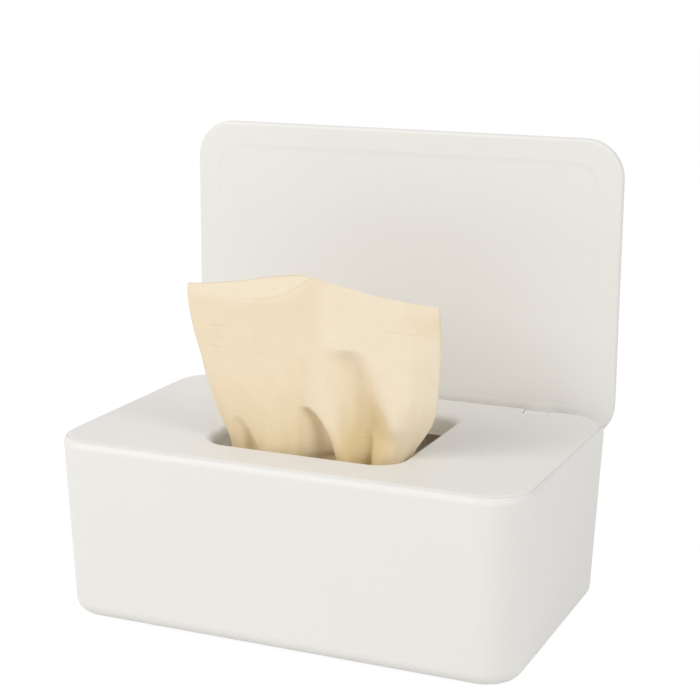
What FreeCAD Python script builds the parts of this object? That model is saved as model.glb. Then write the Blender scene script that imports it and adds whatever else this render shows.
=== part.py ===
import FreeCAD
import Part
import math
import os

# Countertop wipes dispenser, standing open with one wipe pulled up through its mouth.
# Millimetres. X runs to the right, Y to the back and Z up. The origin is the centre of
# the base on the surface that the box stands on. Every height is worked out from it.

# Box: the outer form shared by the tub and the top frame, measured at the top plane
box_length = 187.0
box_width = 117.5
tub_height = 70.7
side_draft = 3.4
corner_radius = 17.6
bottom_edge_radius = 5.8
top_edge_radius = 3.1
wall = 2.4
floor_thickness = 2.6

# Non-slip ring set in a groove under the tub
ring_proud = 0.8
ring_set = 1.0
ring_inset = 9.0
ring_width = 5.0
ring_gap = 0.1

# Top frame: plate in the tub's rim, skirt inside the wall, mouth with a rolled edge
plate_thickness = 2.0
seam_inset = 1.5
seam_gap = 0.12
skirt_depth = 6.0
skirt_wall = 1.4
skirt_gap = 0.3
mouth_length = 77.0
mouth_front_land = 21.5
mouth_back_land = 23.2
mouth_corner_radius = 10.0
mouth_edge_radius = 3.0
mouth_lip_depth = 9.0
mouth_lip_wall = 1.8

# Hinge: two barrels on the lid, each on a pin between the ears of a pocket in the frame
hinge_from_end = 30.5
axis_below_top = 6.4
axis_inside_back = 3.95
barrel_radius = 6.2
barrel_length = 10.0
barrel_side_gap = 0.4
barrel_round_gap = 0.6
ear_thickness = 2.6
pocket_wall = 1.4
pocket_gap = 0.3
notch_gap = 0.45
pin_radius = 1.2
pin_end_gap = 0.4
ear_bore_clearance = 0.02
barrel_bore_clearance = 0.05
block_width = 6.0
stop_height = 3.4
stop_rise = 0.85
stop_gap = 0.3

# Lid: liner and cover, standing upright at rest
lid_end_setback = 1.4
lid_front_overhang = 1.25
lid_corner_radius = 15.5
lid_from_axis = 6.8
lid_below_axis = 5.3
lid_thickness = 6.0
liner_thickness = 1.8
liner_edge_radius = 1.4
liner_step = 0.05
lip_depth = 1.8
lip_wall = 1.2
lip_gap = 0.1
panel_inset = 9.0
panel_slope = 2.0
panel_depth = 0.16
panel_corner_radius = 8.0
panel_rear_land = 3.0
cover_wall = 1.8
cover_plate = 1.8
cover_edge_radius = 4.0

# How far a cutting shape runs past what it cuts
cut_overrun = 2.0

# Stack of wipes, each folded once across its length
wipe_end_room = 0.3
wipe_side_room = 2.1
wipe_ply = 0.8
wipe_slit = 0.3
wipe_rest_gap = 0.3
wipe_count = 16

# Pulled wipe: gathered in the mouth, flared above it, with its tail on the stack
tuft_height = 63.3
tuft_lean = 8.0
fold_depth = 7.0
fold_clearance = 0.7
tail_margin = 3.4

# Across the gathered wipe: where each fold ends, how far it bulges to the back, and how
# far the two ends stand back so that they pass inside the mouth's round corners
fold_end_shares = (0.17, 0.34, 0.64, 0.78, 1.0)
fold_bulge_shares = (0.6, -0.36, 1.0, -0.25, -0.12)
end_setback_share = 0.75

# Up the gathered wipe, as shares of the tuft's height, half the mouth's length twice,
# the fold depth and the lean: height, left edge, right edge, depth of folds, lean
gather_shares = (
    (-0.30, -0.88, 0.92, 0.60, 0.0),
    (-0.09, -0.76, 0.96, 1.00, 0.0),
    (0.00, -0.79, 0.98, 1.00, 0.0),
    (0.10, -0.86, 1.19, 0.90, 0.05),
    (0.25, -0.97, 1.31, 0.65, 0.20),
    (0.45, -1.09, 1.36, 0.40, 0.45),
    (0.75, -1.25, 1.35, 0.25, 0.72),
    (1.02, -1.33, 1.30, 0.12, 1.00),
)

# Top edge of the tuft: place along half the mouth's length, and height
tuft_edge_shares = ((-1.5, 0.89), (-1.2, 0.91), (-0.07, 1.0), (0.48, 0.955), (1.5, 0.87))

# Heights and places worked out from the sizes above
tub_base = ring_proud
top_z = tub_base + tub_height
plate_z = top_z - plate_thickness
floor_z = tub_base + floor_thickness
axis_y = box_width / 2 - axis_inside_back
axis_z = top_z - axis_below_top
hinge_x = box_length / 2 - hinge_from_end
lid_face_y = axis_y + lid_from_axis
lid_low_z = axis_z - lid_below_axis
lid_length = box_length - 2 * lid_end_setback
lid_height = box_width - axis_inside_back + lid_below_axis + lid_front_overhang
bay_half = barrel_length / 2 + barrel_side_gap
pocket_half = bay_half + ear_thickness
bay_front_y = axis_y - barrel_radius - barrel_round_gap
bay_low_z = axis_z - barrel_radius - barrel_round_gap
mouth_front_y = mouth_front_land - box_width / 2
mouth_back_y = box_width / 2 - mouth_back_land
mouth_width = mouth_back_y - mouth_front_y
mouth_y = (mouth_front_y + mouth_back_y) / 2
floor_corner_radius = corner_radius - side_draft - bottom_edge_radius
stack_margin = side_draft + bottom_edge_radius + floor_corner_radius * (1 - math.sqrt(0.5))
wipe_length = box_length - 2 * (stack_margin + wipe_end_room)
wipe_folded_width = box_width - 2 * (stack_margin + wipe_side_room)
wipe_thickness = 2 * wipe_ply + wipe_slit
wipe_pitch = wipe_thickness + wipe_rest_gap
stack_z = floor_z + wipe_count * wipe_pitch


def round_rectangle(length, width, radius, place):
    """Closed outline with round corners; place turns a point of its own plane into space."""
    a, b = length / 2, width / 2
    r = min(radius, 0.98 * a, 0.98 * b)
    bend = r * (1 - math.sqrt(0.5))
    sides = []
    for (x0, y0), (x1, y1), (xm, ym), (x2, y2) in (
        ((a, r - b), (a, b - r), (a - bend, b - bend), (a - r, b)),
        ((a - r, b), (r - a, b), (bend - a, b - bend), (-a, b - r)),
        ((-a, b - r), (-a, r - b), (bend - a, bend - b), (r - a, -b)),
        ((r - a, -b), (a - r, -b), (a - bend, bend - b), (a, r - b)),
    ):
        sides.append(Part.LineSegment(place(x0, y0), place(x1, y1)).toShape())
        sides.append(Part.Arc(place(x1, y1), place(xm, ym), place(x2, y2)).toShape())
    return Part.Wire(sides)


def level_outline(length, width, radius, z, middle_y=0.0):
    """Round rectangle lying level at height z."""
    return round_rectangle(
        length, width, radius, lambda u, v: FreeCAD.Vector(u, v + middle_y, z)
    )


def level_slab(length, width, radius, z_low, z_high, middle_y=0.0):
    """Upright prism on a round rectangle."""
    face = Part.Face(level_outline(length, width, radius, z_low, middle_y))
    return face.extrude(FreeCAD.Vector(0, 0, z_high - z_low))


def lid_outline(inset, radius, depth, rear_extra=0.0):
    """Round rectangle upright in the lid, at a depth behind its inner face, inset all round."""
    height = lid_height - 2 * inset - rear_extra
    middle_z = lid_low_z + inset + rear_extra + height / 2
    y = lid_face_y + depth
    return round_rectangle(
        lid_length - 2 * inset, height, radius,
        lambda u, v: FreeCAD.Vector(u, y, v + middle_z),
    )


def lid_slab(inset, radius, depth_near, depth_far):
    """Round slab of the lid between two depths behind its inner face."""
    face = Part.Face(lid_outline(inset, radius, depth_near))
    return face.extrude(FreeCAD.Vector(0, depth_far - depth_near, 0))


def block(x0, x1, y0, y1, z0, z1):
    """Box between two corners."""
    return Part.makeBox(x1 - x0, y1 - y0, z1 - z0, FreeCAD.Vector(x0, y0, z0))


def rod_along_x(x0, x1, radius):
    """Cylinder on the hinge axis."""
    return Part.makeCylinder(
        radius, x1 - x0, FreeCAD.Vector(x0, axis_y, axis_z), FreeCAD.Vector(1, 0, 0)
    )


def edges_in_plane(solid, direction, value):
    """Edges that lie wholly in the plane where one coordinate has this value."""
    near = wall / 1000
    found = []
    for edge in solid.Edges:
        places = [getattr(vertex.Point, direction) for vertex in edge.Vertexes]
        places.append(getattr(edge.CenterOfMass, direction))
        if max(abs(place - value) for place in places) < near:
            found.append(edge)
    return found


def sloped_form(inset, z_low, z_high):
    """Solid that follows the box's sloping sides at an inset, between two heights."""
    outlines = []
    for z in (z_low, z_high):
        drawn_in = inset + side_draft * (top_z - z) / tub_height
        outlines.append(level_outline(
            box_length - 2 * drawn_in, box_width - 2 * drawn_in, corner_radius - drawn_in, z
        ))
    return Part.makeLoft(outlines, True, True)


def outer_form():
    """The box's outside: sloping sides, rolled bottom edge and rounded shoulder."""
    form = sloped_form(0.0, tub_base, top_z)
    form = form.makeFillet(bottom_edge_radius, edges_in_plane(form, "z", tub_base))
    return form.makeFillet(top_edge_radius, edges_in_plane(form, "z", top_z))


def ring_groove(extra, z_low, z_high):
    """Track of the non-slip ring, wider than the ring by extra on each side."""
    length = box_length - 2 * side_draft - 2 * ring_inset
    width = box_width - 2 * side_draft - 2 * ring_inset
    outer = level_slab(
        length + 2 * extra, width + 2 * extra, floor_corner_radius + extra, z_low, z_high
    )
    inner = level_slab(
        length - 2 * ring_width - 2 * extra, width - 2 * ring_width - 2 * extra,
        floor_corner_radius - extra, z_low, z_high,
    )
    return outer.cut(inner)


def tub(form):
    """Open tub: even walls, a seat for the frame in its rim and two hinge notches."""
    hollow = sloped_form(wall, floor_z, plate_z)
    hollow = hollow.makeFillet(
        bottom_edge_radius - wall, edges_in_plane(hollow, "z", floor_z)
    )
    seat = level_slab(
        box_length - 2 * seam_inset, box_width - 2 * seam_inset,
        corner_radius - seam_inset, plate_z, top_z + cut_overrun,
    )
    solid = form.cut(hollow).cut(seat)
    solid = solid.cut(ring_groove(ring_gap, tub_base - ring_proud, tub_base + ring_set))
    half = pocket_half + pocket_gap
    for middle in (-hinge_x, hinge_x):
        solid = solid.cut(block(
            middle - half, middle + half,
            bay_front_y, box_width,
            bay_low_z - pocket_wall - pocket_gap, top_z + cut_overrun,
        ))
    return solid


def top_frame(form):
    """Plate with the mouth, a skirt inside the tub's wall and two hinge pockets."""
    edge = seam_inset + seam_gap
    plate = form.common(level_slab(
        box_length - 2 * edge, box_width - 2 * edge, corner_radius - edge, plate_z, top_z
    ))
    outside = wall + skirt_gap
    skirt_low_z = top_z - skirt_depth
    skirt = sloped_form(outside, skirt_low_z, plate_z)
    skirt = skirt.cut(sloped_form(outside + skirt_wall, skirt_low_z, plate_z))
    lip = level_slab(
        mouth_length + 2 * mouth_lip_wall, mouth_width + 2 * mouth_lip_wall,
        mouth_corner_radius + mouth_lip_wall, top_z - mouth_lip_depth, plate_z, mouth_y,
    )
    solid = plate.fuse([skirt, lip])
    solid = solid.cut(level_slab(
        mouth_length, mouth_width, mouth_corner_radius,
        top_z - mouth_lip_depth - cut_overrun, top_z + cut_overrun, mouth_y,
    )).removeSplitter()
    rim = [
        e for e in edges_in_plane(solid, "z", top_z)
        if abs(e.CenterOfMass.x) < mouth_length / 2 + wall
        and abs(e.CenterOfMass.y - mouth_y) < mouth_width / 2 + wall
    ]
    solid = solid.makeFillet(mouth_edge_radius, rim)
    for middle in (-hinge_x, hinge_x):
        solid = add_hinge_pocket(solid, form, middle)
    return solid.removeSplitter()


def add_hinge_pocket(frame, form, middle):
    """Pocket under the plate whose ears hold a pin, with the lid's stops behind them."""
    left, right = middle - pocket_half, middle + pocket_half
    shell = block(
        left, right,
        bay_front_y - pocket_wall, box_width,
        bay_low_z - pocket_wall, plate_z,
    ).common(form)
    stops = block(
        left, right,
        axis_y, lid_face_y - stop_gap,
        lid_low_z + stop_rise, lid_low_z + stop_rise + stop_height,
    )
    bay = block(
        middle - bay_half, middle + bay_half,
        bay_front_y, box_width, bay_low_z, plate_z,
    )
    notch = block(
        middle - bay_half, middle + bay_half,
        notch_front_y(), box_width, plate_z, top_z + cut_overrun,
    )
    bore = rod_along_x(left - cut_overrun, right + cut_overrun, pin_radius + ear_bore_clearance)
    return frame.fuse([shell, stops]).cut(bay).cut(notch).cut(bore)


def notch_front_y():
    """Front of the notch in the plate, just clear of the barrel at the plate's underside."""
    up = axis_below_top - plate_thickness
    return axis_y - math.sqrt(barrel_radius ** 2 - up ** 2) - notch_gap


def hinge_pin(middle):
    """Steel pin through the ears and the barrel of one hinge."""
    half = pocket_half - pin_end_gap
    return rod_along_x(middle - half, middle + half, pin_radius)


def sunk_panel():
    """Shape cut from the lid's inner face: a very shallow panel with a sloping edge."""
    near = lid_outline(panel_inset, panel_corner_radius + panel_slope, 0, panel_rear_land)
    far = lid_outline(
        panel_inset + panel_slope, panel_corner_radius, panel_depth, panel_rear_land
    )
    return Part.makeLoft([near, far], True, True)


def lid_liner():
    """Inner half of the lid: plate with a rounded edge, a lip that sits inside the cover
    and the two hinge barrels."""
    solid = lid_slab(liner_step, lid_corner_radius - liner_step, 0, liner_thickness)
    solid = solid.makeFillet(liner_edge_radius, edges_in_plane(solid, "y", lid_face_y))
    solid = solid.cut(sunk_panel())
    lip_far = liner_thickness + lip_depth
    outside = cover_wall + lip_gap
    inside = outside + lip_wall
    lip = lid_slab(outside, lid_corner_radius - outside, liner_thickness, lip_far)
    lip = lip.cut(lid_slab(inside, lid_corner_radius - inside, liner_thickness, lip_far))
    solid = solid.fuse(lip)
    half = barrel_length / 2
    for middle in (-hinge_x, hinge_x):
        barrel = rod_along_x(middle - half, middle + half, barrel_radius)
        link = block(
            middle - half, middle + half,
            axis_y, lid_face_y + liner_thickness / 2,
            axis_z - block_width / 2, axis_z + block_width / 2,
        )
        bore = rod_along_x(
            middle - half - cut_overrun, middle + half + cut_overrun,
            pin_radius + barrel_bore_clearance,
        )
        solid = solid.fuse([barrel, link]).cut(bore)
    return solid.removeSplitter()


def lid_cover():
    """Outer half of the lid: a shallow shell with rounded outer edges."""
    solid = lid_slab(0.0, lid_corner_radius, liner_thickness, lid_thickness)
    back = edges_in_plane(solid, "y", lid_face_y + lid_thickness)
    solid = solid.makeFillet(cover_edge_radius, back)
    return solid.cut(lid_slab(
        cover_wall, lid_corner_radius - cover_wall,
        liner_thickness, lid_thickness - cover_plate,
    ))


def folded_wipe(index):
    """Wipe folded once, lying in the stack; the folds face back and front in turn."""
    z = floor_z + wipe_rest_gap + index * wipe_pitch
    outer_r = wipe_thickness / 2
    inner_r = wipe_slit / 2
    half_x = wipe_length / 2
    half_y = wipe_folded_width / 2
    bend_y = half_y - outer_r
    side = FreeCAD.Vector(1, 0, 0)
    start = FreeCAD.Vector(-half_x, bend_y, z + outer_r)
    slab = block(-half_x, half_x, -half_y, bend_y, z, z + wipe_thickness)
    slab = slab.fuse(Part.makeCylinder(outer_r, wipe_length, start, side))
    slit = block(
        -half_x, half_x, -half_y - cut_overrun, bend_y, z + wipe_ply, z + wipe_ply + wipe_slit
    )
    slit = slit.fuse(Part.makeCylinder(inner_r, wipe_length, start, side))
    solid = slab.cut(slit).removeSplitter()
    if index % 2:
        solid.rotate(FreeCAD.Vector(0, 0, z), FreeCAD.Vector(0, 0, 1), 180)
    return solid


def gathered_section(left, right, depth, front_y, z):
    """Closed band at height z whose two faces wave back and forth in the same folds."""
    joints = [(left, front_y)]
    crowns = []
    share_before = 0.0
    for share, bulge in zip(fold_end_shares, fold_bulge_shares):
        middle = left + (right - left) * (share_before + share) / 2
        crowns.append((middle, front_y + depth * bulge))
        joints.append((left + (right - left) * share, front_y))
        share_before = share
    joints[0] = (left, front_y + depth * end_setback_share)
    joints[-1] = (right, front_y + depth * end_setback_share)
    rows = []
    for shift in (0.0, 2 * wipe_ply):
        ends = [FreeCAD.Vector(x, y + shift, z) for x, y in joints]
        tops = [FreeCAD.Vector(x, y + shift, z) for x, y in crowns]
        rows.append((ends, tops))
    (front, front_tops), (back, back_tops) = rows
    count = len(crowns)
    edges = [
        Part.Arc(front[i], front_tops[i], front[i + 1]).toShape() for i in range(count)
    ]
    edges.append(Part.LineSegment(front[count], back[count]).toShape())
    for i in reversed(range(count)):
        edges.append(Part.Arc(back[i + 1], back_tops[i], back[i]).toShape())
    edges.append(Part.LineSegment(back[0], front[0]).toShape())
    return Part.Wire(edges)


def pulled_wipe():
    """Wipe drawn up through the mouth: folds, flared tuft, peaked top edge, flat tail."""
    reach = mouth_length / 2
    ridge = -min(fold_bulge_shares) * fold_depth
    base_y = mouth_front_y + fold_clearance + ridge
    tail_z = stack_z + wipe_rest_gap
    foot = gather_shares[0]
    sections = [gathered_section(
        reach * foot[1], reach * foot[2], fold_depth * foot[3], base_y, tail_z
    )]
    for up, left, right, depth, lean in gather_shares:
        sections.append(gathered_section(
            reach * left, reach * right, fold_depth * depth,
            base_y + tuft_lean * lean, top_z + tuft_height * up,
        ))
    solid = Part.makeLoft(sections, True, True)
    tail = block(
        reach * foot[1], reach * foot[2], base_y, mouth_back_y - tail_margin,
        tail_z, tail_z + 2 * wipe_ply,
    )
    solid = solid.fuse(tail)
    edge = [
        FreeCAD.Vector(reach * x, -box_width, top_z + tuft_height * up)
        for x, up in tuft_edge_shares
    ]
    high_z = top_z + 2 * tuft_height
    edge.append(FreeCAD.Vector(edge[-1].x, -box_width, high_z))
    edge.append(FreeCAD.Vector(edge[0].x, -box_width, high_z))
    edge.append(edge[0])
    above = Part.Face(Part.makePolygon(edge)).extrude(FreeCAD.Vector(0, 2 * box_width, 0))
    return solid.cut(above)


def export(name, shape):
    """Writes one piece as its own file, after a check that it is whole."""
    if not shape.isValid() or shape.Volume <= 0:
        raise ValueError(name + " is not a valid solid")
    print(name, len(shape.Solids), "solid", round(shape.Volume), "cubic mm")
    shape.exportStep("parts/" + name + ".step")


os.makedirs("parts", exist_ok=True)
whole_form = outer_form()
export("tub", tub(whole_form))
export("non_slip_ring", ring_groove(0.0, 0.0, tub_base + ring_set))
export("top_frame", top_frame(whole_form))
export("hinge_pin_left", hinge_pin(-hinge_x))
export("hinge_pin_right", hinge_pin(hinge_x))
export("lid_liner", lid_liner())
export("lid_cover", lid_cover())
for number in range(wipe_count):
    export("folded_wipe_" + str(number + 1).zfill(2), folded_wipe(number))
export("pulled_wipe", pulled_wipe())
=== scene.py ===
import math

import bpy
import numpy as np
from mathutils import Matrix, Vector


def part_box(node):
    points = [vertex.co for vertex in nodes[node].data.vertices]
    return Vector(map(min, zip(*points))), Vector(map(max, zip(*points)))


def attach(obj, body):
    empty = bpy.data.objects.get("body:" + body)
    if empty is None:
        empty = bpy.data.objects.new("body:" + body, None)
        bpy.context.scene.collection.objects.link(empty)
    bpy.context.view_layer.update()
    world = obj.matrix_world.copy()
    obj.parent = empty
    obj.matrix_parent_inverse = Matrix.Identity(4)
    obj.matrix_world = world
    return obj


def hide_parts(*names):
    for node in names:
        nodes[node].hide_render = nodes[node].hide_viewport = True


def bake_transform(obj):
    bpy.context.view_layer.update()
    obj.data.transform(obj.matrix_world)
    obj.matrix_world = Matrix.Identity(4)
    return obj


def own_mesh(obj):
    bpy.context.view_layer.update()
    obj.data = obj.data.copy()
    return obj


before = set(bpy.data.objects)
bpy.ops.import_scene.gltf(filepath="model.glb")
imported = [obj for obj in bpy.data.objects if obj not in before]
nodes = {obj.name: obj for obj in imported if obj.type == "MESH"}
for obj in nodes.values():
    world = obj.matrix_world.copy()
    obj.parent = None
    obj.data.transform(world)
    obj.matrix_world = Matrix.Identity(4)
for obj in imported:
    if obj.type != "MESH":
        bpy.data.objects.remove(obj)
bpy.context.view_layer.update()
mm = 0.001


# Tub: one white moulding of polypropylene, open at the top, with even walls that lean
# outwards so that it leaves its mould. Its skin is satin, with the fine, even grain of
# a spark-eroded tool.

white = (0.815, 0.800, 0.768)
white_drift = (0.985, 1.01)
white_roughness = (0.46, 0.56)
white_gloss = 0.35
cloud_scale = 24.0
grain_scale = 2100.0
grain_depth = 0.006 * mm
usual_noise = (0.3, 0.7)


def new_finish(name):
    """A new node material and its Principled shader."""
    finish = bpy.data.materials.new(name)
    finish.use_nodes = True
    return finish, finish.node_tree.nodes["Principled BSDF"]


def wire(finish, node, inputs):
    """Gives each named socket of a node its value, or joins it to another node's output."""
    for socket, value in inputs.items():
        if isinstance(value, bpy.types.NodeSocket):
            finish.node_tree.links.new(value, node.inputs[socket])
        else:
            node.inputs[socket].default_value = value


def add(finish, kind, inputs, **settings):
    """Adds a node of one kind, with its settings, and wires its inputs."""
    node = finish.node_tree.nodes.new("ShaderNode" + kind)
    for key, value in settings.items():
        setattr(node, key, value)
    wire(finish, node, inputs)
    return node


def noise(finish, places, scale, detail=2.0, stretch=(1.0, 1.0, 1.0), shift=0.0):
    """Noise with features of about 1 / scale metres, drawn out or pressed by stretch."""
    placed = add(finish, "Mapping", {
        "Vector": places, "Scale": stretch, "Location": (shift, 2 * shift, 3 * shift),
    })
    cloud = add(finish, "TexNoise", {
        "Vector": placed.outputs["Vector"], "Scale": scale, "Detail": detail,
    })
    return cloud.outputs["Fac"]


def between(finish, amount, low, high):
    """Carries a noise from its usual span on to low to high."""
    first, last = usual_noise
    return add(finish, "MapRange", {
        "Value": amount, "From Min": first, "From Max": last, "To Min": low, "To Max": high,
    }).outputs["Result"]


def tint(finish, amount, first, last):
    """Colour that goes from first to last as amount goes from 0 to 1."""
    ramp = add(finish, "ValToRGB", {"Fac": amount})
    ramp.color_ramp.elements[0].color = (*first, 1)
    ramp.color_ramp.elements[1].color = (*last, 1)
    return ramp.outputs["Color"]


def drifting(finish, amount, colour, shares):
    """A colour that goes from its first share to its last as amount goes from 0 to 1."""
    return tint(finish, amount, *(tuple(c * share for c in colour) for share in shares))


def moulded_plastic(name, shift):
    """Satin moulded plastic. The colour wanders by about a hundredth in clouds a few
    centimetres wide, and the grain is a bump about half a millimetre wide."""
    finish, shader = new_finish(name)
    places = add(finish, "TexCoord", {}).outputs["Object"]
    clouds = noise(finish, places, cloud_scale, shift=shift)
    grain = noise(finish, places, grain_scale, shift=shift)
    bump = add(finish, "Bump", {"Height": grain, "Strength": 1.0, "Distance": grain_depth})
    wire(finish, shader, {
        "Base Color": drifting(finish, clouds, white, white_drift),
        "Roughness": between(finish, clouds, *white_roughness),
        "Normal": bump.outputs["Normal"],
        "Specular IOR Level": white_gloss,
    })
    return finish


def dress(name, finish):
    """Gives a carried-over node its finish."""
    node = nodes[name]
    node.data.materials.clear()
    node.data.materials.append(finish)


dress("tub", moulded_plastic("tub_plastic", 0.1))


# Non-slip ring: a grey rubber ring pressed into the groove under the tub. It keeps the
# box from sliding when a wipe is pulled, and the whole box stands on it.

ring_grey = (0.20, 0.195, 0.185)
ring_drift = (0.9, 1.12)
ring_roughness = (0.64, 0.76)
ring_gloss = 0.3
dust_scale = 90.0
dust_detail = 4.0
rubber_grain_scale = 1700.0
rubber_grain_depth = 0.02 * mm


def soft_rubber(name):
    """Soft rubber: a dull, slightly dusty skin with a fine, shallow grain."""
    finish, shader = new_finish(name)
    places = add(finish, "TexCoord", {}).outputs["Object"]
    dust = noise(finish, places, dust_scale, dust_detail)
    grain = noise(finish, places, rubber_grain_scale)
    bump = add(finish, "Bump", {
        "Height": grain, "Strength": 1.0, "Distance": rubber_grain_depth,
    })
    wire(finish, shader, {
        "Base Color": drifting(finish, dust, ring_grey, ring_drift),
        "Roughness": between(finish, dust, *ring_roughness),
        "Normal": bump.outputs["Normal"],
        "Specular IOR Level": ring_gloss,
    })
    return finish


dress("non_slip_ring", soft_rubber("ring_rubber"))


# Stack of wipes: unbleached cotton cloths, each cut 163 by 180 mm and folded once. They
# lie loose on the tub's floor with their folds facing back and front in turn.

# Cloth colours: a single ply; a double ply, partly denser cloth and partly painted shade for
# less light showing through two plies; and painted shade for the hollows and the low cloth. A
# mottle of fibres runs over all.
cloth_thin = (0.86, 0.755, 0.59)
cloth_double_shaded = (0.84, 0.715, 0.525)
cloth_hollow_shade = (0.70, 0.55, 0.31)
cloth_mottle = (0.93, 0.915, 0.88)
cloth_roughness = 0.92
cloth_gloss = 0.15
cloth_sheen = 0.25
sheen_roughness = 0.5
crepe_stretch = (110.0, 900.0, 1.0)
crepe_detail = 3.0
crepe_strength = 0.5
crepe_depth = 0.12 * mm
fibre_scale = 2600.0
mottle_scale = 160.0
mottle_detail = 4.0
wipe_length = 163.0 * mm
wipe_width = 180.0 * mm
ply_thickness = 0.66 * mm
ply_room = 0.05 * mm
stack_count = 16
# The cut edge strays by this much, as the product of two waves: how far each turns over
# half the wipe's length, and from one wipe to the next, in radians
edge_stray = 0.9 * mm
stray_waves = ((2.1, 1.7), (5.3, -0.6))
# Higher wipes lie less flat: the height of their puffs, and the two waves that shape them:
# how far each turns over half the wipe's length and over a metre of depth, and its start
puff = 0.16 * mm
puff_waves = ((31, 40, 0), (0, 55, 1.3))
# The rows of points crowd round the fold; this share of their spacing stays even
even_spacing = 0.05
# From one wipe to the next the crepe is shifted on the cloth, in metres
crepe_shift = 0.37


def unbleached_cloth(name):
    """Unbleached cotton cloth. Fine crepe lines run across it about a millimetre apart, over a
    fibre noise. A point attribute sets the colour: a single ply at 0; at 1 a darker, warmer tint
    for a double ply, partly the denser look of two plies and partly painted shade for less light
    showing through them; and up to 2 a painted shade, darker still, in the hollows and low down."""
    finish, shader = new_finish(name)
    flat = add(finish, "UVMap", {}).outputs["UV"]
    plies_and_shade = add(finish, "Attribute", {}, attribute_name="plies_and_shade").outputs["Fac"]
    crepe = noise(finish, flat, 1.0, crepe_detail, stretch=crepe_stretch)
    fibre = noise(finish, flat, fibre_scale)
    mottle = noise(finish, flat, mottle_scale, mottle_detail)
    height = add(finish, "Math", {0: crepe, 1: fibre}, operation="ADD").outputs["Value"]
    bump = add(finish, "Bump", {
        "Height": height, "Strength": crepe_strength, "Distance": crepe_depth,
    })
    # Ramp from the single ply, through the double-ply tint, to the painted hollow shade
    halved = add(finish, "Math", {0: plies_and_shade, 1: 0.5}, operation="MULTIPLY")
    ply_shade_ramp = add(finish, "ValToRGB", {"Fac": halved.outputs["Value"]})
    ramp = ply_shade_ramp.color_ramp
    ramp.elements[0].color = (*cloth_thin, 1)
    ramp.elements[1].color = (*cloth_hollow_shade, 1)
    ramp.elements.new(0.5).color = (*cloth_double_shaded, 1)
    body = ply_shade_ramp.outputs["Color"]
    fleck = tint(finish, mottle, cloth_mottle, (1.0, 1.0, 1.0))
    colour = add(finish, "MixRGB", {
        "Fac": 1.0, "Color1": body, "Color2": fleck,
    }, blend_type="MULTIPLY").outputs["Color"]
    wire(finish, shader, {
        "Base Color": colour,
        "Roughness": cloth_roughness,
        "Normal": bump.outputs["Normal"],
        "Specular IOR Level": cloth_gloss,
        "Sheen Weight": cloth_sheen,
        "Sheen Roughness": sheen_roughness,
    })
    return finish


def cloth_solid(name, middle, thickness, flat, plies_and_shade, finish):
    """Closed cloth of even thickness round a middle surface of rows by columns of points.
    The two faces lie half the thickness to either side, along the cross product of the
    steps along a row and up a column, and quads join them all round the edge. flat
    holds each point's place on the cut cloth and becomes the UV map."""
    rows, columns = middle.shape[:2]
    normal = np.cross(np.gradient(middle, axis=1), np.gradient(middle, axis=0))
    normal /= np.linalg.norm(normal, axis=2, keepdims=True)
    half = normal * thickness / 2
    points = np.concatenate([(middle + half).reshape(-1, 3), (middle - half).reshape(-1, 3)])
    count = rows * columns
    at = np.arange(count).reshape(rows, columns)
    front = np.stack([at[:-1, :-1], at[:-1, 1:], at[1:, 1:], at[1:, :-1]], axis=-1)
    front = front.reshape(-1, 4)
    rim = np.concatenate([at[0, :-1], at[:-1, -1], at[-1, :0:-1], at[:0:-1, 0]])
    ahead = np.roll(rim, -1)
    strip = np.stack([ahead, rim, rim + count, ahead + count], axis=-1)
    faces = np.concatenate([front, front[:, ::-1] + count, strip])
    mesh = bpy.data.meshes.new(name)
    mesh.from_pydata(points, [], faces)
    mesh.polygons.foreach_set("use_smooth", np.ones(len(faces), bool))
    corner = faces.ravel() % count
    places = flat.reshape(-1, 2)[corner]
    mesh.uv_layers.new(name="flat").data.foreach_set("uv", places.ravel())
    store = mesh.attributes.new("plies_and_shade", "FLOAT", "POINT")
    store.data.foreach_set("value", np.tile(plies_and_shade.ravel(), 2).astype(np.float32))
    mesh.update()
    on_rim = np.zeros(2 * count, bool)
    on_rim[np.concatenate([rim, rim + count])] = True
    pairs = np.array([edge.vertices for edge in mesh.edges])
    side = pairs // count
    sharp = on_rim[pairs].all(axis=1) & (side[:, 0] == side[:, 1])
    mesh.attributes.new("sharp_edge", "BOOLEAN", "EDGE").data.foreach_set("value", sharp)
    mesh.materials.append(finish)
    piece = bpy.data.objects.new(name, mesh)
    bpy.context.scene.collection.objects.link(piece)
    return piece


cotton = unbleached_cloth("wipe_cotton")


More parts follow.
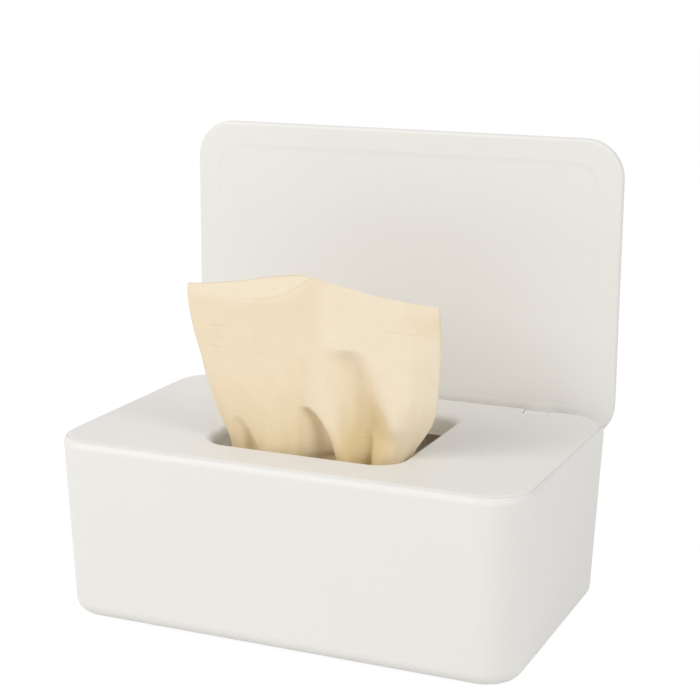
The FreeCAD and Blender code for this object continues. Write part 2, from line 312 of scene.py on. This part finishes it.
def folded_wipe(number):
    """Strip bent round a half circle: with a the way along it from the fold's middle and
    r the fold's radius, the angle is a / r held to a quarter turn each way, the height
    is r sin(angle), and the depth is r cos(angle) less what is left of a."""
    name = "folded_wipe_" + str(number).zfill(2)
    low, high = (np.array(corner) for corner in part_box(name))
    turn = -1 if number % 2 else 1
    radius = (high[2] - low[2] - ply_thickness) / 2 - ply_room
    t = np.linspace(-1, 1, 71)[:, None]
    x = np.linspace(-1, 1, 81)[None, :]
    wander = edge_stray
    for turns, step in stray_waves:
        wander = wander * np.sin(turns * x + step * number)
    spacing = even_spacing * t + (1 - even_spacing) * t ** 3
    along = (wipe_width / 2 - edge_stray + np.sign(t) * wander) * spacing
    angle = np.clip(along / radius, -math.pi / 2, math.pi / 2)
    left_over = np.abs(along) - np.abs(angle) * radius
    fold_y = (high[1] - low[1]) / 2 - radius - ply_thickness / 2
    y = turn * (left_over - fold_y - radius * np.cos(angle))
    nest = puff * number / stack_count
    for over_x, over_y, start in puff_waves:
        nest = nest * np.sin(over_x * x + over_y * y + start)
    z = (low[2] + high[2]) / 2 + radius * np.sin(angle) + nest
    middle = np.stack(np.broadcast_arrays(x * (high[0] - low[0]) / 2, y, z), axis=-1)
    flat = np.broadcast_arrays(x * wipe_length / 2, along + crepe_shift * number)
    flat = np.stack(flat, axis=-1)
    # The whole folded wipe takes the double-ply tint: partly the denser look of two plies,
    # partly painted shade for less light through them
    piece = cloth_solid(
        "wipe_sheet_" + str(number).zfill(2), middle, ply_thickness, flat,
        np.ones(middle.shape[:2]), cotton,
    )
    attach(piece, "tub")
    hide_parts(name)


for number in range(1, stack_count + 1):
    folded_wipe(number)


# Top frame: a flat white moulding that drops into the tub's rim and lifts out for filling.
# The wipes come up through its mouth, whose edge is rolled so that it can't tear them.

dress("top_frame", moulded_plastic("frame_plastic", 0.7))


# Hinge pins: two short pins of drawn steel, pressed through the ears of the frame's
# pockets. The lid's barrels turn on them.

steel = (0.56, 0.56, 0.55)
steel_drift = (0.8, 1.1)
steel_roughness = (0.22, 0.4)
thread_stretch = (120.0, 9000.0, 9000.0)
thread_strength = 0.4
thread_depth = 0.01 * mm


def drawn_steel(name):
    """Drawn steel rod: fine scratches along X, told by noise pressed to long threads."""
    finish, shader = new_finish(name)
    places = add(finish, "TexCoord", {}).outputs["Object"]
    threads = noise(finish, places, 1.0, stretch=thread_stretch)
    bump = add(finish, "Bump", {
        "Height": threads, "Strength": thread_strength, "Distance": thread_depth,
    })
    wire(finish, shader, {
        "Base Color": drifting(finish, threads, steel, steel_drift),
        "Metallic": 1.0,
        "Roughness": between(finish, threads, *steel_roughness),
        "Normal": bump.outputs["Normal"],
    })
    return finish


for name in ("hinge_pin_left", "hinge_pin_right"):
    dress(name, drawn_steel(name + "_steel"))


# Lid: two white mouldings, a flat liner with a barely sunk panel on the inside and a
# smooth cover on the outside. They are snapped together, and the lid closes on the frame.

dress("lid_liner", moulded_plastic("liner_plastic", 1.3))
dress("lid_cover", moulded_plastic("cover_plastic", 1.9))


# Pulled wipe: the next cloth of the stack, drawn up by hand. Its sides are folded behind
# its front, the mouth gathers it into round folds, and its other end lies on the stack.
# It is one cloth, made in two lengths that meet in the mouth: the tuft and the tail.

# Lengths in this section are in millimetres, unless they are given times mm. Heights are
# over the frame's top plane, and depths are to the back
top_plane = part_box("top_frame")[1][2] / mm
wipe_thickness = 0.42 * mm
front_y = -34.0
# The flat cloth, from left to right: a side folded behind, the front, a side folded behind
left_flap = 49.5
front_width = 101.0
right_flap = 12.5
fold_radius = 0.5
flap_gap = 0.25
flap_gap_reach = 15.0
turn_radius = 9.3
turned_length = 9.2
seam_height = -3.0
tuft_top = 63.3
across_points = 361
up_points = 161

# The front's left fold, and where its right side starts to turn back round the mouth's
# corner, each as height and place along X; then how far it turns, in degrees
left_edge = (
    (-6, -28.8), (0, -30.0), (5, -32.3), (10, -34.7), (20, -38.7), (30, -42.5),
    (40, -46.2), (51, -49.1), (57, -50.0), (64, -50.6),
)
turn_start = (
    (-6, 28.0), (0, 28.7), (5, 30.4), (8, 32.0), (12, 34.5), (17, 36.8), (23, 38.2),
    (30, 39.0), (40, 39.7), (50, 39.4), (57, 39.0), (64, 38.6),
)
turn_angle = (
    (-6, 88), (0, 86), (5, 68), (8, 56), (12, 45), (17, 36.5), (23, 29.5), (30, 25),
    (38, 21), (64, 14),
)
# Top edge of the cloth: way across the flat cloth from the left fold, and height
top_edge = (
    (-49.5, 63.3), (-44.4, 63.1), (-36.9, 62.2), (-29.4, 60.8), (-23.3, 59.6),
    (-15.1, 58.4), (-6.1, 57.4), (0, 56.9), (6.1, 57.3), (15.1, 58.3), (23.3, 59.4),
    (29.4, 60.6), (36.9, 61.9), (44.4, 62.9), (49.5, 63.1), (54, 62.6), (57, 62.0),
    (63, 60.8), (69.5, 59.7), (76, 58.6), (82.4, 57.9), (88.7, 57.5), (94, 57.0),
    (101, 56.0), (107, 55.3), (113.5, 54.6),
)
# Pressed crease under the top edge on the left: place along X, and height; then its depth
# and half width, where along X and over what length it comes in, and how steeply the
# cloth leans back above it
pressed_line = (
    (-52, 53.5), (-40, 52.4), (-33, 52.2), (-24, 52.7), (-13.7, 54.1), (-7, 56.8),
    (-3, 59.5), (6, 66),
)
pressed_depth = 0.45
pressed_half = 0.6
pressed_start = -34.0
pressed_fade = 20.0
pressed_slope = 0.18
# How far the cloth leans back as it rises, and its sway: depth, length along X for one
# radian, start, and the height at which it is full
lean = ((-6, 0), (0, 0), (6, 0.4), (16, 1.6), (28, 3.6), (64, 8.0))
sway_depth, sway_length, sway_start, sway_height = 0.9, 13.0, 0.6, 50.0
# How strongly the mouth still gathers the cloth at each height. It sets how deep the left
# side turns back, in a quarter of an ellipse, and how high small ripples along X are
hold = ((-6, 1.0), (0, 1.0), (8, 0.8), (20, 0.42), (34, 0.18), (64, 0.05))
side_depth = 4.6
side_reach = 9.0
side_steepness = 0.998
ripple_depth, ripple_turns, ripple_lean = 0.16, 1.15, 0.05
# Each hollow or ridge in rows from its foot to its top: height, centre line, width to the
# left and to the right of it, and depth
left_hollow = (
    (-6, -18.0, 4.5, 1.7, 3.4), (0, -19.6, 4.2, 1.7, 3.0), (4, -21.8, 3.6, 1.7, 2.2),
    (7.3, -24.0, 3.0, 1.8, 1.1), (10, -25.5, 2.5, 2.0, 0),
)
left_ridge = (
    (-6, -10.5, 5, 5, -1.9), (0, -10.5, 5, 5, -1.8), (12, -12, 5, 5, -0.9), (24, -13, 5, 5, 0),
)
deep_hollow = (
    (-6, 11.6, 7.5, 2.6, 12.0), (-3, 11.3, 7.2, 2.6, 10.0), (-1.2, 11.0, 6.8, 2.6, 8.6),
    (1.2, 10.3, 6.2, 2.5, 7.8), (5, 9.0, 5.2, 2.4, 7.0), (7.6, 7.8, 4.5, 2.3, 6.3),
    (10.4, 6.1, 3.7, 2.1, 5.2), (13, 4.2, 2.9, 1.9, 3.8), (15, 2.7, 2.2, 1.6, 1.9),
    (16.4, 1.9, 1.8, 1.4, 0),
)
middle_ridge = (
    (-6, 18.6, 3.4, 3.4, -1.8), (0, 18.4, 3.4, 3.4, -1.8), (13, 13.0, 3.4, 3.4, -1.0),
    (24, 9.5, 3.4, 3.4, -0.4), (32, 7.0, 3, 3, 0),
)
notch = (
    (-6, 26.9, 3.0, 0.9, 5.0), (-2, 26.9, 3.0, 0.9, 3.9), (0, 26.9, 2.8, 0.9, 3.2),
    (4, 26.8, 2.6, 0.9, 2.3), (8, 26.5, 2.2, 1.0, 1.0), (10.5, 26.0, 2.0, 1.0, 0),
)
corner_ridge = ((-6, 31.5, 3, 4, -1.7), (0, 31.5, 3, 4, -1.5), (7, 32, 3, 4, 0))
wide_hollow = (
    (-6, 31, 8, 6, 1.5), (0, 31, 9, 6.5, 2.4), (6, 31.5, 12, 5.6, 4.2), (13, 29.5, 13, 4.4, 5.6),
    (20, 26.0, 12, 4.2, 5.4), (25, 23.5, 11, 4.2, 4.9), (30, 20.8, 9.6, 4.4, 4.1),
    (34, 18.2, 7.6, 4.8, 2.8), (36.3, 17.0, 6.2, 4.8, 1.3), (38.2, 16.5, 5.6, 4.6, 0),
)
peak_hollow = (
    (30, 5.0, 3.5, 3.0, 0), (42, 4.2, 3.4, 2.8, 0.7), (54, 3.4, 3.2, 2.6, 0.9),
    (64, 2.4, 3.2, 2.6, 0.6),
)
folds = (
    left_hollow, left_ridge, deep_hollow, middle_ridge, notch, corner_ridge, wide_hollow,
    peak_hollow,
)
# Painted shade in the hollows: each hollow, with how much darker its cloth is painted when 1 mm
# deep
hollow_shading = ((left_hollow, 0.10), (deep_hollow, 0.16), (wide_hollow, 0.56), (notch, 0.40))
# Painted shade low down: below a height all the cloth is painted darker, and most of all round
# one place along X: the gain there, the place and the half width
low_shade_height, low_shade_gain = 26.0, 0.5
foot_shade_gain, foot_shade_middle, foot_shade_half = 1.7, 22.0, 9.5
# Where the cloth takes the double-ply tint: up to a place along X under the pressed crease; and
# a painted fold shadow past one place along X between two heights, each place and height with
# the length over which it fades
double_left, below_crease = (4.0, 7.0), 4.0
right_shadow_x, right_shadow_from, right_shadow_to = (39.5, 6.0), (46.0, 5.0), (52.7, 2.5)
# Strength of the painted fold shadow
right_fold_shade = 0.9
# Small pressed creases: middle along X, height, half length and depth
creases = (
    (-36.5, 42.3, 3.5, 0.30), (-36.5, 34.5, 3.0, 0.26), (38.0, 45.7, 6.0, 0.22),
    (24.0, 6.5, 3.0, 0.2),
)
crease_half = 0.45


def smooth_line(points, at):
    """Smooth line through a few points: in each span a cubic whose slope at both ends is
    that of the neighbours, weighted by how near they are."""
    x, y = np.array(points, float).T
    slope = np.gradient(y, x)
    i = np.clip(np.searchsorted(x, at) - 1, 0, len(x) - 2)
    span = x[i + 1] - x[i]
    t = np.clip((at - x[i]) / span, 0, 1)
    return (
        y[i] * (1 + 2 * t) * (1 - t) ** 2 + y[i + 1] * (3 - 2 * t) * t ** 2
        + span * (slope[i] * t * (1 - t) ** 2 - slope[i + 1] * (1 - t) * t ** 2)
    )


def fold_depth(rows, x, height):
    """Depth of one fold: with q the way from its centre line over the width on that side,
    its depth at that height times exp(-q squared)."""
    level = [row[0] for row in rows]
    centre, to_left, to_right, depth = (
        smooth_line([(row[0], row[i]) for row in rows], height) for i in (1, 2, 3, 4)
    )
    q = (x - centre) / np.where(x < centre, to_left, to_right)
    return depth * np.exp(-q * q) * (height < level[-1]) * (height > level[0] - 1)


def gathers(x, height, left):
    """How far back the cloth lies of its front plane: its left side by a depth times
    1 - sqrt(1 - u squared), with u from 0 to 1 towards the left fold, and then its folds,
    creases and ripples."""
    held = smooth_line(hold, height)
    near_left = np.clip(1 - (x - left) / side_reach, 0, 1)
    back = side_depth * held * (1 - np.sqrt(1 - side_steepness * near_left ** 2))
    for rows in folds:
        back = back + fold_depth(rows, x, height)
    for middle, level, half, depth in creases:
        along, above = (x - middle) / half, (height - level) / crease_half
        back = back + depth * np.exp(-along ** 4 - above ** 2)
    over = height - smooth_line(pressed_line, x)
    groove = np.clip((x - pressed_start) / pressed_fade, 0, 1)
    groove = groove * np.exp(-(over / pressed_half) ** 2)
    back = back + pressed_depth * groove + pressed_slope * np.clip(over, 0, None)
    return back + ripple_depth * held * np.sin(ripple_turns * x + ripple_lean * height)


def front_face(share, height):
    """Front of the cloth at a share of its width: flat but for its gathers, then an arc
    back round the mouth's corner by the angle for that height, then straight on."""
    left = smooth_line(left_edge, height)
    straight = smooth_line(turn_start, height) - left
    angle = np.radians(smooth_line(turn_angle, height))
    width = straight + turn_radius * angle + turned_length
    way = share * width
    bent = np.clip((way - straight) / turn_radius, 0, angle)
    rest = np.maximum(way - straight - turn_radius * angle, 0)
    x = left + np.minimum(way, straight) + turn_radius * np.sin(bent) + rest * np.cos(angle)
    y = turn_radius * (1 - np.cos(bent)) + rest * np.sin(angle)
    return x, y + gathers(left + way, height, left), width


def layered(way, height):
    """The cloth with both sides folded back behind its front, each round a half circle:
    way runs over the flat cloth from the left fold, and a folded side lies behind the
    front along the front's own normal. Gives X and the way behind the front plane."""
    share = way / front_width
    width = front_face(share, height)[2]
    from_fold = np.where(share < 0.5, share, 1 - share) * width
    angle = np.clip(from_fold / fold_radius, -math.pi / 2, math.pi / 2)
    inward = fold_radius * (1 - np.cos(angle))
    inward = (inward + np.maximum(np.abs(from_fold) - fold_radius * math.pi / 2, 0)) / width
    at = np.where(share < 0.5, inward, 1 - inward)
    behind = fold_radius * (1 - np.sin(angle))
    behind = behind + flap_gap * np.clip(-from_fold / flap_gap_reach, 0, 1)
    step = 0.004
    x0, y0, _ = front_face(at - step, height)
    x1, y1, _ = front_face(at + step, height)
    length = np.hypot(x1 - x0, y1 - y0)
    x, y, _ = front_face(at, height)
    return x - behind * (y1 - y0) / length, y + behind * (x1 - x0) / length


def past(amount, limit, fade):
    """Goes from 0 to 1 as an amount passes a limit, over a length of fade."""
    return np.clip((amount - limit) / fade + 0.5, 0, 1)


def layers_at(x, height):
    """0 where the cloth is a single ply and 1 over the left side where it lies double, softened
    over a few millimetres; a painted fold shadow over the right side's upper corner; and painted
    shade on top, up to more than 1, in the hollows and low down."""
    on_left = 1 - past(x, *double_left)
    on_left = on_left * (1 - past(height, smooth_line(pressed_line, x), below_crease))
    # Painted fold shadow at the right side's upper corner
    right_fold_shadow = right_fold_shade * past(x, *right_shadow_x)
    right_fold_shadow = right_fold_shadow * past(height, *right_shadow_from) * (1 - past(height, *right_shadow_to))
    # Painted shade in the hollows and low down, on top of the ply tint
    hollow_shade = sum(gain * np.sqrt(fold_depth(rows, x, height)) for rows, gain in hollow_shading)
    low = np.clip(1 - height / low_shade_height, 0, 1)
    foot_shade = low ** 2 * np.exp(-((x - foot_shade_middle) / foot_shade_half) ** 2)
    return np.maximum(on_left, right_fold_shadow) + hollow_shade + low_shade_gain * low + foot_shade_gain * foot_shade


def tuft():
    """Surface over the way across the flat cloth and the share of the way up."""
    way = np.linspace(-left_flap, front_width + right_flap, across_points)[None, :]
    up = np.linspace(0, 1, up_points)[:, None]
    height = seam_height + (smooth_line(top_edge, way) - seam_height) * up
    x, back = layered(way, height)
    sway = sway_depth * np.sin(x / sway_length + sway_start)
    sway = sway * np.clip(height / sway_height, 0, 1)
    y = front_y + smooth_line(lean, height) + back + sway
    middle = np.stack([x, y, top_plane + height], axis=-1) * mm
    flat = np.stack(np.broadcast_arrays(way, up * (tuft_top - seam_height)), axis=-1) * mm
    return cloth_solid(
        "pulled_wipe_tuft", middle, wipe_thickness, flat, layers_at(x, height), cotton
    )


upper = tuft()
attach(upper, "wipe")
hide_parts("pulled_wipe")
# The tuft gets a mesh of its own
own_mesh(upper)

bend_radius = 9.0
loop_radius = 4.5
tail_low = 39.3
tail_back = 30.0
tail_left, tail_right = -33.6, 35.0
# Low ripples of the tail: height, and turns over its width in radians; then how far a
# folded side is lifted, and over what length, so that it lies on the rest
tail_ripple, tail_turns = 1.3, 56.0
flap_lift, flap_rise = 1.2, 3.0
double_fade = 2.0


def tail():
    """Cloth carried along a path in the YZ plane: down from the mouth, a quarter turn on to
    the stack, back along it, a half turn and forward again. On the way the section that
    the tuft has at the seam turns into a flat one with low ripples."""
    down = top_plane + seam_height - tail_low - bend_radius
    quarter = bend_radius * math.pi / 2
    back = tail_back - front_y - bend_radius
    half = loop_radius * math.pi
    whole = wipe_width / mm - (tuft_top - seam_height)
    way = np.linspace(-left_flap, front_width + right_flap, across_points)[None, :]
    gone = np.linspace(0, whole, up_points)[::-1, None]
    first = np.clip((gone - down) / bend_radius, 0, math.pi / 2)
    on_stack = np.clip(gone - down - quarter, 0, back)
    second = np.clip((gone - down - quarter - back) / loop_radius, 0, math.pi)
    home = np.clip(gone - down - quarter - back - half, 0, whole)
    y = front_y + bend_radius * (1 - np.cos(first)) + on_stack
    y = y + loop_radius * np.sin(second) - home
    z = top_plane + seam_height - np.minimum(gone, down) - bend_radius * np.sin(first)
    z = z + loop_radius * (1 - np.cos(second))
    turned = first + second
    share = np.clip(gone / (down + quarter), 0, 1)
    share = share * share * (3 - 2 * share)
    seam_x, deep = layered(way, np.full(way.shape, seam_height))
    on_left = way < front_width / 2
    side = np.clip(np.where(on_left, -way, way - front_width), 0, None)
    place = np.clip(way, 0, front_width) + np.where(on_left, side, -side)
    place = place / front_width
    ripple = tail_ripple * (1 + np.sin(place * tail_turns))
    ripple = ripple + flap_lift * np.clip(side / flap_rise, 0, 1)
    x = seam_x * (1 - share) + (tail_left + (tail_right - tail_left) * place) * share
    away = deep * (1 - share) + ripple * share
    middle = np.stack([x, y + away * np.cos(turned), z + away * np.sin(turned)], axis=-1) * mm
    flat = np.stack(np.broadcast_arrays(way, -gone), axis=-1) * mm
    # The tail keeps the double-ply tint where a folded side lies on it, partly painted shade for
    # less light through two plies, and near the seam the tuft's tint with its painted shade
    doubled = np.clip((left_flap - way) / double_fade, 0, 1)
    doubled = doubled + np.clip((way - front_width + right_flap) / double_fade, 0, 1)
    at_seam = layers_at(seam_x, seam_height)
    plies_and_shade = at_seam * (1 - share) + np.clip(doubled, 0, 1) * share
    return cloth_solid("pulled_wipe_tail", middle, wipe_thickness, flat, plies_and_shade, cotton)


lower = tail()
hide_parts("pulled_wipe")
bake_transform(lower)


# Table, light and camera: a plain white table under an even white sky, large soft lamps to
# the front left, the left and the right, and the camera above and to the right of the box.

table_white = (0.86, 0.86, 0.86)
table_drift = (0.995, 1.0)
table_glow = 1.05
glow_share = 0.9
table_reach = 4.0
sky_colour = (1.0, 0.995, 0.985, 1)
sky_level = 0.573
lamp_size = 0.6
aim = (0.0, 0.0, 0.08)


def seen_directly(tree):
    """1 for rays from the camera, or by way of a gloss or through glass, and else 0."""
    path = tree.nodes.new("ShaderNodeLightPath")
    most = path.outputs["Is Camera Ray"]
    for kind in ("Is Glossy Ray", "Is Transmission Ray"):
        join = tree.nodes.new("ShaderNodeMath")
        join.operation = "MAXIMUM"
        tree.links.new(most, join.inputs[0])
        tree.links.new(path.outputs[kind], join.inputs[1])
        most = join.outputs["Value"]
    return most


def white_table():
    """Flat white sheet. To the camera it glows up to white and keeps a soft shadow."""
    finish, shader = new_finish("table_white")
    tree = finish.node_tree
    places = add(finish, "TexCoord", {}).outputs["Object"]
    paper = noise(finish, places, 3.0)
    wire(finish, shader, {
        "Base Color": drifting(finish, paper, table_white, table_drift),
        "Roughness": 0.9,
        "Specular IOR Level": 0.0,
    })
    glow = add(finish, "Emission", {"Color": (1, 1, 1, 1), "Strength": table_glow})
    share = add(finish, "Math", {0: seen_directly(tree), 1: glow_share}, operation="MULTIPLY")
    mix = add(finish, "MixShader", {
        0: share.outputs["Value"], 1: shader.outputs["BSDF"], 2: glow.outputs["Emission"],
    })
    tree.links.new(mix.outputs["Shader"], tree.nodes["Material Output"].inputs["Surface"])
    return finish


table_corners = [
    (table_reach * x, table_reach * y, 0) for x, y in ((-1, -1), (1, -1), (1, 1), (-1, 1))
]
mesh = bpy.data.meshes.new("table")
mesh.from_pydata(table_corners, [], [(0, 1, 2, 3)])
mesh.materials.append(white_table())
table = bpy.data.objects.new("table", mesh)
bpy.context.scene.collection.objects.link(table)

world = bpy.data.worlds.new("white_sky")
bpy.context.scene.world = world
world.use_nodes = True
sky = world.node_tree
lit = sky.nodes["Background"]
lit.inputs["Color"].default_value = sky_colour
lit.inputs["Strength"].default_value = sky_level
shown = sky.nodes.new("ShaderNodeBackground")
shown.inputs["Color"].default_value = (1, 1, 1, 1)
shown.inputs["Strength"].default_value = 1.0
either = sky.nodes.new("ShaderNodeMixShader")
sky.links.new(seen_directly(sky), either.inputs[0])
sky.links.new(lit.outputs["Background"], either.inputs[1])
sky.links.new(shown.outputs["Background"], either.inputs[2])
sky.links.new(either.outputs["Shader"], sky.nodes["World Output"].inputs["Surface"])


def turned_to(direction, roll=0.0):
    """Rotation that looks along a direction, with the picture turned by a small roll."""
    forward = np.array(direction) / np.linalg.norm(direction)
    side = np.cross(forward, (0, 0, 1))
    side /= np.linalg.norm(side)
    above = np.cross(side, forward)
    side, above = (
        math.cos(roll) * side + math.sin(roll) * above,
        math.cos(roll) * above - math.sin(roll) * side,
    )
    matrix = np.stack([side, above, -forward], axis=1)
    return Matrix(matrix.tolist()).to_euler()


def soft_lamp(name, place, power):
    """Square lamp that faces the box."""
    light = bpy.data.lights.new(name, "AREA")
    light.energy = power
    light.size = lamp_size
    lamp = bpy.data.objects.new(name, light)
    lamp.location = place
    lamp.rotation_euler = turned_to(np.array(aim) - np.array(place))
    bpy.context.scene.collection.objects.link(lamp)


# Name, place and power of each lamp
for lamp_name, lamp_place, lamp_power in (
    ("front_lamp", (-0.50, -1.23, 0.78), 3.7),
    ("left_lamp", (-0.87, -0.87, 0.94), 5.9),
    ("right_lamp", (1.28, -0.46, 0.71), 5.1),
):
    soft_lamp(lamp_name, lamp_place, lamp_power)

# Camera, fitted to the outlines of the object: place, then yaw, pitch and roll in degrees
camera_place = (0.255166, -0.575853, 0.250655)
camera_turn = (23.461, 13.272, 0.329)
camera = bpy.data.cameras.new("camera")
camera.sensor_width = 36.0
camera.lens = 87.611
yaw, pitch, roll = (math.radians(angle) for angle in camera_turn)
viewer = bpy.data.objects.new("camera", camera)
viewer.location = camera_place
viewer.rotation_euler = turned_to(
    (-math.sin(yaw) * math.cos(pitch), math.cos(yaw) * math.cos(pitch), -math.sin(pitch)), roll
)
bpy.context.scene.collection.objects.link(viewer)
bpy.context.scene.camera = viewer
bpy.context.scene.view_settings.view_transform = "Standard"
